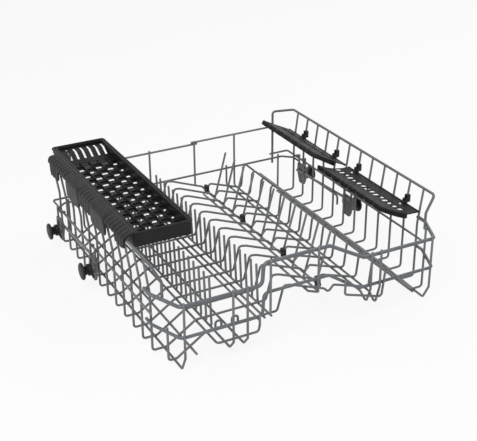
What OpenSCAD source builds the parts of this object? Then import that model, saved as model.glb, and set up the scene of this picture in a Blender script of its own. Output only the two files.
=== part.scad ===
// Upper rack of a dishwasher: a welded wire basket on four wheels, with a folding
// row of tines, two hinged cup shelves and a lift-out cutlery tray.
// Units are millimetres. X runs to the right, Y to the back, Z up.
// The origin is the middle of the footprint, on the plane the lowest wires rest on.

/* [Basket] */
// Distance between the two side walls, on wire centre lines
basket_width = 481; // [430:1:600]
// Spacing of the cross wires
cross_pitch = 36.4; // [30:0.1:46]
// Number of full cross wires behind the front rails
cross_count = 12; // [10:1:14]
// Height of the wall tops above the trough wires
wall_height = 158; // [140:1:190]
// How far each wall top leans outward
wall_lean = 8; // [4:0.5:14]
// Height of the flat plate floor above the troughs
floor_height = 32.5; // [26:0.5:38]

/* [Wire] */
// Diameter of the cross wires, lengthwise wires and tines
wire_d = 3.8; // [3.2:0.1:4.2]
// Diameter of the upper front rail
top_rail_d = 6; // [5:0.1:6.5]
// Diameter of the lower front rail
low_rail_d = 5.2; // [4.4:0.1:6]
// Diameter of the guard rims and the cup ridge wire
rim_d = 4.5; // [3.8:0.1:5]

/* [Tines] */
// Height of the fixed plate tines above the floor wires
plate_tine_height = 69; // [50:1:80]
// Length of the folding tines
fold_tine_length = 100; // [70:1:102]
// Lean of the folding tines at rest, in degrees
fold_tine_lean = 15.2; // [8:0.1:20]

/* [Cup shelves] */
// How far a shelf reaches in from its hinge
shelf_reach = 48; // [36:1:60]
// Thickness of a shelf
shelf_thick = 3; // [2.4:0.1:4]
// Tilt of the rear shelf at rest, in degrees
rear_shelf_tilt = 25; // [0:1:40]
// Height of the shelf hinges above the troughs
hinge_height = 121.5; // [116:0.5:132]

/* [Cutlery tray] */
// Width of the tray
tray_width = 96; // [84:0.5:110]
// Depth of the tray from rim to floor
tray_depth = 34; // [30:1:40]
// Wall thickness of the tray
tray_wall = 2.2; // [1.6:0.1:3]
// Number of lengthwise dividers
divider_count = 5; // [3:1:7]

/* [Wheels] */
// Diameter of the outer disc of a wheel
wheel_d = 27; // [22:0.5:32]
// Diameter of the wheel pin
axle_d = 5; // [4:0.1:6]
// Height of the wheel pins above the troughs
axle_height = 36; // [32:0.5:42]

/* [Hidden] */

wire_grey = [0.40, 0.41, 0.42];
rail_grey = [0.36, 0.38, 0.40];
black = [0.10, 0.10, 0.11];
bracket_grey = [0.45, 0.46, 0.47];
steel = [0.75, 0.76, 0.78];

// Gap left at a weld between two wires, and the play of moving parts
weld_gap = 0.05;
slide_play = 0.3;
pin_play = 0.1;
// A bend is a hair thicker than the run that enters it
swell = 0.06;
grip = 0.3;
bend_r = 5;

half = basket_width / 2;
cross = wire_d + weld_gap;

// Y is counted from the centre line of the upper front rail, Z from the trough wires
front_y = -(top_rail_d + wire_d) / 2;
last = cross_count - 1;
riser_y = row_y(last) + 20;
back_y = riser_y + cross;
leg_y = back_y + (wire_d + rim_d) / 2 + weld_gap;
mid_back_y = leg_y + (wire_d + rim_d) / 2 + weld_gap;
rack_y = (wire_d / 2 - front_y - mid_back_y - wire_d / 2) / 2;
rack_z = cross + wire_d / 2;

kink_height = wall_height - 59.5;
top_rail_z = 106;
low_rail_z = 53.8;
rail_corner_x = half - 17.7;
rim_x = half + wall_lean;
rim_z = wall_height + rim_d / 2 + weld_gap;
rim_front_y = row_y(0) - 29;
mid_x = half + cross;
mid_z = 70.3;
leg_x = half - 33;

// Corners of the cross profile that other wires are placed from
slope_foot = [-half + 23.5, 0];
slope_top = [-half + 73, floor_height];
crest_right = [half - 263.5, floor_height + 39.9];
notch_left = [half - 202, floor_height + 16.1];
notch = [half - 194, floor_height + 7.5];
hump = [half - 185, floor_height + 18.5];
foot = [half - 122.5, floor_height - 4];
ridge = [half - 116, floor_height + 46.8];
toe = [half - 28, 0];

// Centre lines of the bends that carry a lengthwise wire
notch_bend = bend_centre(notch_left, notch, hump);
foot_bend = bend_centre(hump, foot, ridge);
ridge_bend = bend_centre(foot, ridge, toe);

// Stations across the rack that several wires share
ridge_x = -half + 74.7;
left_tine_x = -half + 99.5;
right_tine_x = half - 303;

// The folding row turns about this line, just below the notches
fold_x = notch_bend[0];
fold_z = notch_bend[1] - bend_r - wire_d - slide_play;
fold_dir = [sin(fold_tine_lean), 0, cos(fold_tine_lean)];
fold_side = [cos(fold_tine_lean), 0, -sin(fold_tine_lean)];
fold_spread = 9.6;
fold_step = wire_d + 0.4;

hinge_x = half - 2;
hinge_rod_d = 4;
low_riser = mid_z + 2;
high_riser = 133.5;
back_rail_z = 127.5;
back_low_z = 64;
clip_width = 7;

wheel_x = half + 14.5;
wheel_end = half + 31.8;
wheel_rows = [6, 10.5];

tray_left = -half + 3;
tray_right = tray_left + tray_width;
tray_top = wall_height + 14;
tray_floor_z = tray_top - tray_depth;
tray_front = row_y(1) + 21;
tray_back = mid_back_y;

function row_y(k) = front_y + cross_pitch * (k + 2);
function unit(v) = v / norm(v);
function lerp(a, b, t) = a + (b - a) * t;

// Centre of the round bend at b, between the runs from a and to c
function bend_centre(a, b, c) = let(u = unit(a - b), v = unit(c - b))
    b + unit(u + v) * bend_r / sin(acos(u * v) / 2);

// Height of a wire at x that lies just below the sloping run from a to b
function below(a, b, x) = lerp(a[1], b[1], (x - a[0]) / (b[0] - a[0]))
    - cross * norm(b - a) / (b[0] - a[0]);

// Profile of a full cross wire in the X and Z plane
function cross_profile() = concat(
    [[-half - wall_lean, wall_height], [-half, kink_height]],
    floor_profile(half),
    [[half, kink_height], [half + wall_lean, wall_height]]);

function floor_profile(wall) = [
    [-wall, 0], slope_foot, slope_top,
    [half - 301, floor_height], [half - 287, floor_height + 8],
    [half - 275.5, floor_height + 42], crest_right, notch_left, notch, hump, foot, ridge,
    toe, [wall, 0]];

function raise(profile, y) = [for (p = profile) [p[0], y, p[1]]];

// Wire along a path of points, with a round bend at every inner point
module wire(path, d = wire_d, bend = bend_r) {
    last = len(path) - 1;
    function turn(i) = acos(unit(path[i] - path[i - 1]) * unit(path[i + 1] - path[i]));
    function trim(i) = i == 0 || i == last ? 0 : bend * tan(turn(i) / 2);
    function entry(i) = i == 0 || i == last ? 0 : trim(i) - grip;
    for (i = [0 : last - 1]) {
        dir = unit(path[i + 1] - path[i]);
        from = path[i] + dir * entry(i);
        side = unit(cross(abs(dir[2]) < 0.9 ? [0, 0, 1] : [0, 1, 0], dir));
        up = cross(dir, side);
        multmatrix([[side[0], up[0], dir[0], from[0]],
                    [side[1], up[1], dir[1], from[1]],
                    [side[2], up[2], dir[2], from[2]]])
            cylinder(h = norm(path[i + 1] - path[i]) - entry(i) - entry(i + 1), d = d);
    }
    if (last > 1) for (i = [1 : last - 1]) {
        din = unit(path[i] - path[i - 1]);
        axis = unit(cross(din, unit(path[i + 1] - path[i])));
        inward = cross(axis, din);
        centre = path[i] - din * trim(i) + inward * bend;
        multmatrix([[-inward[0], din[0], axis[0], centre[0]],
                    [-inward[1], din[1], axis[1], centre[1]],
                    [-inward[2], din[2], axis[2], centre[2]]])
            rotate_extrude(angle = turn(i))
                translate([bend, 0])
                    circle(d = d + swell);
    }
}

// Straight tine with an eased tip, standing on the origin
module tine(length, d = wire_d) {
    r = d / 2;
    rotate_extrude()
        polygon([[0, 0], [r, 0], [r, length - 1.3], [r * 0.78, length - 0.4],
                 [r * 0.4, length], [0, length]]);
}

module rack() {
    translate([0, rack_y, rack_z])
        children();
}

module mirrored() {
    children();
    mirror([1, 0, 0])
        children();
}

module cross_wires(from, to) {
    color(wire_grey)
        rack()
            for (k = [from : to])
                wire(raise(cross_profile(), row_y(k)));
}

module cross_wires_rear() {
    cross_wires(8, last);
}

module cross_wires_middle() {
    cross_wires(4, 7);
}

module cross_wires_front() {
    cross_wires(0, 3);
}

// The first cross wire stands inside the corners of the rails. The bar before the
// right part of the rails follows the cup ridge and ends in the open.
module front_cross_wires() {
    inset = inside_rail(low_rail_z, low_rail_d, wire_d, row_y(-1));
    color(wire_grey)
        rack() {
            wire(raise(concat([[-inset, low_rail_z + 3.5]], floor_profile(inset),
                              [[inset, top_rail_z + 4.5]]), row_y(-1)));
            wire(raise([hump + [-2, 27], hump + [-2, 1], foot + [0, 1], ridge + [0, 0.7],
                        lerp(ridge, toe, 0.64)], front_y));
        }
}

// One lengthwise wire: riser before the rails, run below the cross wires, rear riser
module long_wire(x, z, front_top, rear_top) {
    lean_z = min(z + 25, low_rail_z - 5);
    front = front_top == 0 ? [[x, row_y(-1) - 12, z]]
        : [[x, front_y, front_top], [x, front_y, lean_z], [x, front_y + 13, z]];
    wire(concat(front, [[x, riser_y, z], [x, riser_y, rear_top]]));
}

module long_wires_left() {
    floor_run = floor_height - cross;
    color(wire_grey)
        rack() {
            long_wire(-half + 21, -cross, top_rail_z + 8.5, low_riser);
            long_wire(-half + 47.2, below(slope_foot, slope_top, -half + 47.2), 0, low_riser);
            wire([[ridge_x + 60.6, front_y, low_rail_z + 6], [ridge_x + 60.6, front_y, floor_run],
                  [ridge_x, front_y, floor_run], [ridge_x, riser_y, floor_run],
                  [ridge_x, riser_y, high_riser]]);
            long_wire(left_tine_x, floor_run, top_rail_z + 8.5, low_riser);
            long_wire(left_tine_x + 24, floor_run, top_rail_z + 8.5, high_riser);
            long_wire(right_tine_x - 18.3, floor_run, top_rail_z + 44.5, low_riser);
            long_wire(right_tine_x, floor_run, low_rail_z + 44, high_riser);
        }
}

module long_wires_right() {
    color(wire_grey)
        rack() {
            crest_z = below(crest_right, notch_left, half - 236.5);
            wire([[half - 236.5, front_y, top_rail_z + 44.5], [half - 236.5, front_y, crest_z + 13],
                  [half - 236.5, row_y(-1) - 8, crest_z], [half - 236.5, row_y(2), crest_z]]);
            long_wire(half - 150, below(hump, foot, half - 150), top_rail_z + 8.5, low_riser);
            long_wire(foot_bend[0], foot_bend[1] - bend_r - cross - swell / 2,
                      top_rail_z + 8.5, high_riser);
            long_wire(half - 24.5, -cross, top_rail_z + 8.5, high_riser);
        }
}

// Plan of a front rail: ends outside the side walls, corners cut back, grip raised
function rail_path(z, rise, left, right, end, d) = let(
        outer = rail_outer(z, d), y = (d - top_rail_d) / 2)
    [[-outer, row_y(0) + 8, z], [-outer, row_y(0) - 12, z], [-rail_corner_x, y, z], [left, y, z],
     [left + rise * 0.06, y, z + rise], [right, y, z + rise], [end, y, z], [rail_corner_x, y, z],
     [outer, row_y(0) - 12, z], [outer, row_y(0) + 8, z]];

function rail_outer(z, d) = lean_x(max(z, kink_height)) + (wire_d + d) / 2 + weld_gap;

// Where a wire of diameter other stands against the inner side of a rail's cut-back corner
function inside_rail(z, d, other, y) = let(
        start = (d - top_rail_d) / 2,
        side = unit([rail_outer(z, d) - rail_corner_x, row_y(0) - 12 - start]))
    rail_corner_x + (side[0] * (y - start) - (d + other) / 2 - weld_gap) / side[1];

module front_top_rail() {
    color(rail_grey)
        rack()
            wire(rail_path(top_rail_z, 36.2, -half + 150.5, half - 215, half - 151.5, top_rail_d),
                 top_rail_d, 9);
}

module front_low_rail() {
    color(rail_grey)
        rack()
            wire(rail_path(low_rail_z, 38.1, -half + 151, half - 215, half - 158.5, low_rail_d),
                 low_rail_d, 9);
}

module back_top_rail() {
    color(wire_grey)
        rack() {
            wire([[-half + 12, back_y, back_rail_z], [half - 199, back_y, back_rail_z]]);
            wire([[half - 212, back_y, back_rail_z + cross], [half - 37, back_y, back_rail_z + cross]]);
        }
}

module back_low_wire() {
    color(wire_grey)
        rack()
            wire([[-mid_x, row_y(last) - 14, back_low_z], [-mid_x, row_y(last) + 8, back_low_z],
                  [-half + 14, back_y, back_low_z], [half - 14, back_y, back_low_z],
                  [mid_x, row_y(last) + 8, back_low_z], [mid_x, row_y(last) - 14, back_low_z]]);
}

module side_mid_wires() {
    color(wire_grey)
        rack()
            mirrored()
                wire([[mid_x, row_y(0) - 12, mid_z], [mid_x, mid_back_y, mid_z],
                      [leg_x - 4, mid_back_y, mid_z]]);
}

// Guard rim over one side wall. Its front end turns inward and down, and stands
// against the inner side of the upper rail.
module rim() {
    end_x = inside_rail(top_rail_z, top_rail_d, rim_d, rim_front_y);
    rack()
        wire([[end_x, rim_front_y, top_rail_z - 4], [end_x, rim_front_y, rim_z - 29],
              [rim_x, rim_front_y, rim_z], [rim_x, riser_y - 2, rim_z],
              [leg_x, leg_y, rim_z], [leg_x, leg_y, mid_z - 18]], rim_d, 6);
}

module rim_right() {
    color(wire_grey)
        rim();
}

module rim_left() {
    color(wire_grey)
        mirror([1, 0, 0])
            rim();
}

module plate_tines(x, lean) {
    foot = floor_height - cross + wire_d / 2 + weld_gap;
    color(wire_grey)
        rack()
            for (k = [0 : last], half_step = [0, 0.5])
                if (k + half_step < last)
                    translate([x, row_y(k + half_step) + fold_step, foot])
                        rotate([0, lean, 0])
                            tine(plate_tine_height);
}

module plate_tines_left() {
    plate_tines(left_tine_x, -2.5);
}

module plate_tines_right() {
    plate_tines(right_tine_x, -2.2);
}

module cup_ridge_wire() {
    z = ridge_bend[1] + bend_r + (wire_d + swell + rim_d) / 2 + weld_gap;
    color(wire_grey)
        rack()
            wire([[ridge_bend[0], front_y - 2, z], [ridge_bend[0], back_y - cross, z]], rim_d);
}

module stop_loops() {
    color(wire_grey)
        rack()
            for (x = [-half + 77.8, -half + 105])
                wire(raise([[x, floor_height - 1.5], [x, floor_height + 21.7],
                            [x + 11, floor_height + 21.7], [x + 11, floor_height - 1.5]],
                           row_y(-1) + cross), wire_d, 4);
}

module inner_brace() {
    color(wire_grey)
        rack()
            wire([[half - cross, row_y(9) + 20, 53], [half - cross, row_y(6) + 16, 53],
                  [half - cross, row_y(6) + 16, 35]]);
}

module side_braces() {
    x = half + (wire_d + 5) / 2 + weld_gap;
    color(wire_grey)
        rack()
            mirrored()
                wire([[x, row_y(wheel_rows[0]) - 13, 54], [x, row_y(wheel_rows[1]) + 13, 42]], 5);
}

// Plate clipped over the middle wire, with a boss for the wheel pin
module wheel_bracket() {
    inner = half + wire_d + 5 / 2 + weld_gap * 2 + 0.8;
    thick = 2.8;
    difference() {
        union() {
            translate([inner, 0, 0])
                rotate([90, 0, 90])
                    linear_extrude(thick)
                        polygon([[-16, mid_z + 4.6], [16, mid_z + 4.6], [16, axle_height - 3],
                                 [9, axle_height - 18], [-9, axle_height - 18],
                                 [-16, axle_height - 3]]);
            for (side = [-1, 1])
                translate([mid_x - 2.2, side * 11 - 3, mid_z + wire_d / 2 + weld_gap])
                    cube([inner - mid_x + 3, 6, 2.6]);
            translate([inner + 1, 0, axle_height])
                rotate([0, 90, 0])
                    cylinder(h = wheel_x - slide_play - inner - 1, d = axle_d + 8);
            for (y = [-12.5, 10.5])
                translate([inner + 1, y, axle_height - 2])
                    cube([thick + 1.2, 2, mid_z - axle_height + 5.5]);
        }
        translate([inner - 1, 0, axle_height])
            rotate([0, 90, 0])
                cylinder(h = 20, d = axle_d + weld_gap * 2);
    }
}

module wheel_brackets() {
    color(bracket_grey)
        rack()
            mirrored()
                for (k = wheel_rows)
                    translate([0, row_y(k), 0])
                        wheel_bracket();
}

// Headed pins in the bracket bosses
module wheel_axles() {
    start = half + 8;
    color(steel)
        rack()
            mirrored()
                for (k = wheel_rows)
                    translate([start, row_y(k), axle_height])
                        rotate([0, 90, 0])
                            rotate_extrude()
                                polygon([[0, 0], [axle_d / 2, 0],
                                         [axle_d / 2, wheel_end - start + slide_play],
                                         [axle_d / 2 + 1.6, wheel_end - start + slide_play],
                                         [axle_d / 2 + 1.2, wheel_end - start + slide_play + 1.1],
                                         [0, wheel_end - start + slide_play + 1.1]]);
}

// Hub with a larger outer disc, turned about X
module wheel() {
    bore = axle_d / 2 + pin_play;
    wide = wheel_end - wheel_x;
    difference() {
        rotate([0, 90, 0])
            rotate_extrude()
                polygon([[bore, 0], [wheel_d / 2 - 5.3, 0], [wheel_d / 2 - 4.5, 0.8],
                         [wheel_d / 2 - 4.5, wide - 3.8], [wheel_d / 2 - 0.6, wide - 3.8],
                         [wheel_d / 2, wide - 3.2], [wheel_d / 2, wide - 0.6],
                         [wheel_d / 2 - 0.6, wide], [wheel_d / 2 - 3.4, wide],
                         [wheel_d / 2 - 4.2, wide - 1.4], [bore + 2.6, wide - 1.4],
                         [bore + 2.2, wide], [bore, wide]]);
        for (a = [0 : 60 : 300])
            rotate([a, 0, 0])
                translate([wide - 6, 0, wheel_d / 2 - 6.4])
                    rotate([0, 90, 0])
                        cylinder(h = 8, d = 2.2);
    }
}

module wheel_at(side, k) {
    color(black)
        rack()
            mirror([side < 0 ? 1 : 0, 0, 0])
                translate([wheel_x, row_y(k), axle_height])
                    wheel();
}

module wheel_front_left() {
    wheel_at(-1, wheel_rows[0]);
}

module wheel_front_right() {
    wheel_at(1, wheel_rows[0]);
}

module wheel_rear_left() {
    wheel_at(-1, wheel_rows[1]);
}

module wheel_rear_right() {
    wheel_at(1, wheel_rows[1]);
}

// Ring round the axle of the folding row, with a saddle over the notch of a cross wire
module fold_clip(k) {
    bore = wire_d + pin_play * 2;
    difference() {
        union() {
            translate([fold_x, row_y(k) - 9.5, fold_z])
                rotate([-90, 0, 0])
                    cylinder(h = 7.2, d = bore + 4.4);
            translate([fold_x - 2.8, row_y(k) - 9.5, fold_z])
                cube([5.6, 7.2, 12]);
            translate([fold_x - 2.8, row_y(k) - 4, fold_z + 6.4])
                cube([5.6, 5.8, 5.6]);
        }
        translate([fold_x, row_y(k) - 20, fold_z])
            rotate([-90, 0, 0])
                cylinder(h = 40, d = bore);
        wire(raise([notch_left, notch, hump], row_y(k)), wire_d + weld_gap * 2);
    }
}

module fold_clips() {
    color(black)
        rack()
            for (k = [0, 3, 7, last])
                fold_clip(k);
}

// Two lengthwise wires welded to the left side of the folding tines
module fold_axle() {
    from = row_y(0) - 13;
    to = row_y(last) + 6;
    color(wire_grey)
        rack()
            for (drop = [0, fold_spread])
                translate([fold_x, from, fold_z] - fold_dir * drop)
                    rotate([-90, 0, 0])
                        cylinder(h = to - from, d = wire_d);
}

module fold_tines() {
    color(wire_grey)
        rack()
            for (k = [0 : last])
                translate([fold_x, row_y(k) + fold_step, fold_z]
                          + fold_side * cross - fold_dir * (fold_spread + 1))
                    rotate([0, fold_tine_lean, 0])
                        tine(fold_tine_length);
}

// Clip round a wall wire, with a bore for the hinge rod of a cup shelf
module shelf_clip(k) {
    difference() {
        union() {
            translate([hinge_x, row_y(k) - clip_width / 2, hinge_height])
                rotate([-90, 0, 0])
                    cylinder(h = clip_width, d = hinge_rod_d + 5.2);
            translate([hinge_x - 1, row_y(k) - clip_width / 2, hinge_height + 1])
                cube([lean_x(hinge_height + 6) + 4.2 - hinge_x + 1, clip_width, 13]);
        }
        translate([hinge_x, row_y(k) - clip_width, hinge_height])
            rotate([-90, 0, 0])
                cylinder(h = clip_width * 2, d = hinge_rod_d + pin_play * 2);
        wire([[half, row_y(k), kink_height], [half + wall_lean, row_y(k), wall_height]],
             wire_d + weld_gap * 2);
        translate([hinge_x - 2, row_y(k) - clip_width, hinge_height + 8])
            cube([5, clip_width * 2, 8]);
    }
}

function lean_x(z) = half + wall_lean * (z - kink_height) / (wall_height - kink_height);

module shelf_clips_front() {
    color(black)
        rack()
            for (k = [1, 5])
                shelf_clip(k);
}

module shelf_clips_rear() {
    color(black)
        rack()
            for (k = [7, 10])
                shelf_clip(k);
}

// Cup shelf: slotted plate with a scalloped inner edge on a hinge rod along Y
module cup_shelf(from, to, clips) {
    length = to - from;
    cells = floor(length / 13);
    step = length / cells;
    scallops = floor(length / 26);
    difference() {
        union() {
            translate([0, 0, -shelf_thick / 2])
                linear_extrude(shelf_thick)
                    difference() {
                        translate([-shelf_reach, from])
                            square([shelf_reach - 1, length]);
                        for (i = [0 : cells - 1], x = [0.22, 0.5])
                            translate([-shelf_reach * (1 - x), from + step * i + 2])
                                square([shelf_reach * 0.2, step - 4]);
                        for (i = [0 : scallops - 1])
                            translate([-shelf_reach - 8, from + length / scallops * (i + 0.5)])
                                circle(d = 24);
                    }
            translate([0, from, 0])
                rotate([-90, 0, 0])
                    cylinder(h = length, d = hinge_rod_d);
        }
        for (y = clips)
            translate([-8, y - clip_width / 2 - 0.8, -10])
                difference() {
                    cube([20, clip_width + 1.6, 20]);
                    translate([8, -1, 10])
                        rotate([-90, 0, 0])
                            cylinder(h = clip_width + 4, d = hinge_rod_d);
                }
    }
}

module cup_shelf_front() {
    color(black)
        rack()
            translate([hinge_x, 0, hinge_height])
                cup_shelf(row_y(0) - 14, row_y(5) + 28, [row_y(1), row_y(5)]);
}

module cup_shelf_rear() {
    color(black)
        rack()
            translate([hinge_x, 0, hinge_height])
                rotate([0, rear_shelf_tilt, 0])
                    cup_shelf(row_y(6) - 2, row_y(last) + 16, [row_y(7), row_y(10)]);
}

// Open box with a sloping slotted back and a ledge behind it, turned over the rim
module tray_shell() {
    slope = 17;
    ledge = rim_z + rim_d / 2 + 0.2;
    back = riser_y - 7;
    slots = 7;
    color(black)
        rack()
            difference() {
                union() {
                    translate([tray_left, 0, 0])
                        rotate([90, 0, 90])
                            linear_extrude(tray_width)
                                polygon([[tray_front, tray_floor_z], [tray_front, tray_top],
                                         [tray_back, tray_top], [tray_back, ledge],
                                         [back, ledge], [back - slope, tray_floor_z]]);
                    translate([tray_left - 1.6, tray_front - 1.6, tray_top - 2.6])
                        cube([tray_width + 3.2, tray_back - tray_front + 1.6, 2.6]);
                }
                translate([tray_left + tray_wall, 0, 0])
                    rotate([90, 0, 90])
                        linear_extrude(tray_width - 2 * tray_wall)
                            polygon([[tray_front + tray_wall, tray_floor_z - 1],
                                     [tray_front + tray_wall, tray_top + 1],
                                     [tray_back - tray_wall, tray_top + 1],
                                     [tray_back - tray_wall, ledge + tray_wall],
                                     [back - 1.2, ledge + tray_wall],
                                     [back - slope - tray_wall - 1, tray_floor_z - 1]]);
                for (i = [0 : slots - 1])
                    translate([lerp(tray_left, tray_right, (i + 0.72) / (slots + 0.44)) - 1.2,
                               back - slope - 10, tray_floor_z + 6])
                        cube([5, slope + 12, ledge - tray_floor_z - 10]);
            }
}

// Lengthwise walls with a comb of notches along the top
module tray_dividers() {
    from = tray_front + tray_wall + 0.1;
    to = riser_y - 7 - 17 - tray_wall - 1.6;
    low = tray_floor_z + 4.6;
    tooth = 12;
    count = floor((to - from - 6) / tooth);
    color(black)
        rack()
            for (i = [1 : divider_count])
                translate([lerp(tray_left, tray_right, i / (divider_count + 1)) - 0.8, 0, 0])
                    rotate([90, 0, 90])
                        linear_extrude(1.6)
                            polygon(concat([[to, low], [from, low]],
                                [for (j = [0 : count - 1], p = [[0, 22], [3, 22], [4, 16], [11, 16]])
                                    [from + j * tooth + p[0], low + p[1]]],
                                [[from + count * tooth, low + 22], [to, low + 22]]));
}

// Cross bars and edge strips under the dividers
module tray_floor() {
    from = tray_front + tray_wall + 0.1;
    to = riser_y - 7 - 17 - tray_wall - 3;
    bars = 24;
    color(black)
        rack()
            for (i = [0 : bars])
                translate([tray_left + tray_wall + 0.1, lerp(from, to - 3, i / bars),
                           tray_floor_z + 2.4])
                    cube([tray_width - 2 * tray_wall - 0.2, 3, 2.2]);
}

// Four hooks that hang the tray on the left rim
module tray_hooks() {
    top = rim_z + rim_d / 2 + 2.4;
    under = rim_z + rim_d / 2 + 0.2;
    outer = -rim_x - rim_d / 2 - 1.1;
    length = 45;
    color(black)
        rack()
            for (k = [1, 3.55, 6.1, 8.65])
                translate([0, row_y(k) + cross_pitch + 4 + length, 0])
                    rotate([90, 0, 0])
                        linear_extrude(length)
                            polygon([[tray_left - 0.1, top], [outer - 1.2, top],
                                     [outer - 2.2, top - 1], [outer - 2.2, top - 20],
                                     [outer - 0.6, top - 20], [outer, top - 18], [outer, under],
                                     [tray_left - 0.1, under]]);
}

cross_wires_rear();
cross_wires_middle();
cross_wires_front();
front_cross_wires();
long_wires_left();
long_wires_right();
front_top_rail();
front_low_rail();
back_top_rail();
back_low_wire();
side_mid_wires();
rim_left();
rim_right();
plate_tines_left();
plate_tines_right();
cup_ridge_wire();
stop_loops();
inner_brace();
side_braces();
wheel_brackets();
wheel_axles();
fold_clips();
shelf_clips_front();
shelf_clips_rear();
fold_axle();
fold_tines();
cup_shelf_front();
cup_shelf_rear();
tray_shell();
tray_dividers();
tray_floor();
tray_hooks();
wheel_front_left();
wheel_front_right();
wheel_rear_left();
wheel_rear_right();
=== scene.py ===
import bpy
import math
import numpy as np
from mathutils import Matrix, Vector


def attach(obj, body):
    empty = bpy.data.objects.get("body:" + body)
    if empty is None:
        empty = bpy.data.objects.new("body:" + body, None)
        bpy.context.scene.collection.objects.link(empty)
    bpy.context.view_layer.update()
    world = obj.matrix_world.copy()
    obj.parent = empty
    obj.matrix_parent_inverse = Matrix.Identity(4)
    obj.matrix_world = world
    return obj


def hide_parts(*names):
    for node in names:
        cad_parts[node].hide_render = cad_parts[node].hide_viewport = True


# Upper rack of a dishwasher. Lengths in the dictionaries are millimetres: x from the middle,
# y from the centre of the upper front rail and z from the trough wires. A mesh gets metres.

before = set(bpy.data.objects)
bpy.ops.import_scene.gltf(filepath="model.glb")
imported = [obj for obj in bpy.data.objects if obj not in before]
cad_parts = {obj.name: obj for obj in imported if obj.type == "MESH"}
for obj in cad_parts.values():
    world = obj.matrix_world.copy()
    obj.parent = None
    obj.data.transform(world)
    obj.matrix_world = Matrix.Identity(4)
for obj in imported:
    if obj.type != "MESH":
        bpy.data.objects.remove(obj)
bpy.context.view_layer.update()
scene = bpy.context.scene

rack = dict(half=240.5, pitch=36.4, rows=12, wallHeight=158, wallLean=8, wallKink=98.5,
            floorHeight=32.5, wire=3.8, topRail=6, lowRail=5.2, rim=4.5, weldGap=0.05, bend=5,
            topRailHeight=106, lowRailHeight=53.8, railCorner=222.8, midHeight=70.3,
            highRiser=133.5, behindLastRow=20, shift=(0, -247.825, 5.75))

half, wireD, rimD, weldGap, bend = (rack[key] for key in ("half", "wire", "rim", "weldGap", "bend"))
wireGap = wireD + weldGap  # centre to centre of two crossing wires
frontY = -(rack["topRail"] + wireD) / 2


def rowY(k):
    # place of cross wire k; the inset first one is -1
    return frontY + rack["pitch"] * (k + 2)


lastRow = rack["rows"] - 1
riserY = rowY(lastRow) + rack["behindLastRow"]
backY = riserY + wireGap
legY = backY + (wireD + rimD) / 2 + weldGap
midBackY = legY + (wireD + rimD) / 2 + weldGap


def unitRows(v):
    # each row divided by its length
    return v / np.linalg.norm(v, axis=-1, keepdims=True)


def cornerArcs(corner, before, after, radius, steps):
    # the circle that touches both runs of a corner has its centre on their halving line;
    # returns the points and the directions along each arc
    toPrev, toNext = unitRows(before - corner), unitRows(after - corner)
    halfTurn = np.arccos(np.clip((toPrev * toNext).sum(1), -1, 1)) / 2
    centre = corner + unitRows(toPrev + toNext) * (radius / np.sin(halfTurn))[:, None]
    spoke = (corner + toPrev * (radius / np.tan(halfTurn))[:, None] - centre) / radius
    angle = np.linspace(0, 1, steps)[None, :, None] * (np.pi - 2 * halfTurn)[:, None, None]
    spoke, toPrev = spoke[:, None], toPrev[:, None]
    arc = centre[:, None] + radius * (np.cos(angle) * spoke - np.sin(angle) * toPrev)
    return arc, -np.sin(angle) * spoke - np.cos(angle) * toPrev


def roundPath(corners, radius, steps=7):
    # straight runs joined by arcs; returns points and directions
    p = np.asarray(corners, float)
    if len(p) < 3:
        return p, np.repeat(unitRows(p[1:] - p[:1]), 2, axis=0)
    arc, heading = cornerArcs(p[1:-1], p[:-2], p[2:], radius, steps)
    points = np.concatenate([p[:1], arc.reshape(-1, 3), p[-1:]])
    ends = unitRows(p[1:2] - p[:1]), unitRows(p[-1:] - p[-2:-1])
    return points, np.concatenate([ends[0], heading.reshape(-1, 3), ends[1]])


def roundOutline(corners, radius, steps=5):
    # closed outline with each corner turned into an arc
    p = np.asarray(corners, float)
    arc = cornerArcs(p, np.roll(p, 1, 0), np.roll(p, -1, 0), radius, steps)[0]
    return arc.reshape(-1, 2)


tube = dict(sides=12, rimSides=14, railSides=16, endRings=4, lighterMark=5)  # the last: how far the worn, lighter coating reaches from a wire's end


def tubeRings(points, along, radius, sides, ease):
    # a circle carried along the path; at both ends the radius follows a quarter circle of
    # radius ease, so that the cut end has a soft edge
    ends = tube["endRings"]
    quarter = np.linspace(0, np.pi / 2, ends)
    inset, shrink = ease * (1 - np.cos(quarter)), ease * (1 - np.sin(quarter))
    centre = np.concatenate([points[:1] + along[:1] * inset[:, None], points[1:-1],
                             points[-1:] - along[-1:] * inset[::-1, None]])
    run = np.concatenate([np.repeat(along[:1], ends, 0), along[1:-1], np.repeat(along[-1:], ends, 0)])
    size = np.concatenate([radius - shrink, np.full(len(points) - 2, radius), radius - shrink[::-1]])
    side = np.empty_like(run)
    keep = np.cross(run[0], (0, 0, 1) if abs(run[0][2]) < 0.9 else (0, 1, 0))
    for i, t in enumerate(run):  # carried from ring to ring without twist
        keep = keep - t * (keep @ t)
        keep = keep / np.linalg.norm(keep)
        side[i] = keep
    up = np.cross(run, side)
    turn = np.linspace(0, 2 * np.pi, sides, endpoint=False)[None, :, None]
    spoke = np.cos(turn) * side[:, None] + np.sin(turn) * up[:, None]
    rings = centre[:, None] + size[:, None, None] * spoke
    toEnd = np.minimum(np.linalg.norm(centre - centre[0], axis=1),
                       np.linalg.norm(centre - centre[-1], axis=1))
    return rings, centre[0], centre[-1], np.clip(1 - toEnd / tube["lighterMark"], 0, 1)


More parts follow.
